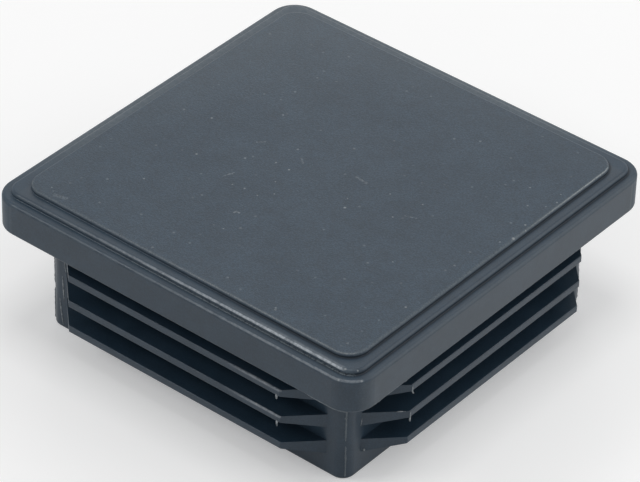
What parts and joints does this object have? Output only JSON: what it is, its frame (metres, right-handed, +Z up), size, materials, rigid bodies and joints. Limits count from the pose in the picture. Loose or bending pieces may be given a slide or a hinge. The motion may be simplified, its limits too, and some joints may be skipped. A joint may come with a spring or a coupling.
{
  "type": "tube end cap",
  "caption": "Square ribbed end cap with a stepped flat head, pressed into a square tube to close its end.",
  "frame": {"origin": "centre of the plug's open rim, on the surface the loose cap stands on", "axes": "+Z runs up the plug and out through the flat head, the way the cap comes off its tube; X and Y are square to the four sides"},
  "size_m": [0.08, 0.08, 0.0296],
  "materials": {
    "cap_plastic": "anthracite grey polyethylene, moulded with a fine matt grain and a slight sheen on the edges"
  },
  "bodies": {
    "root": {"end_cap": "cap_plastic"}
  },
  "joints": []
}
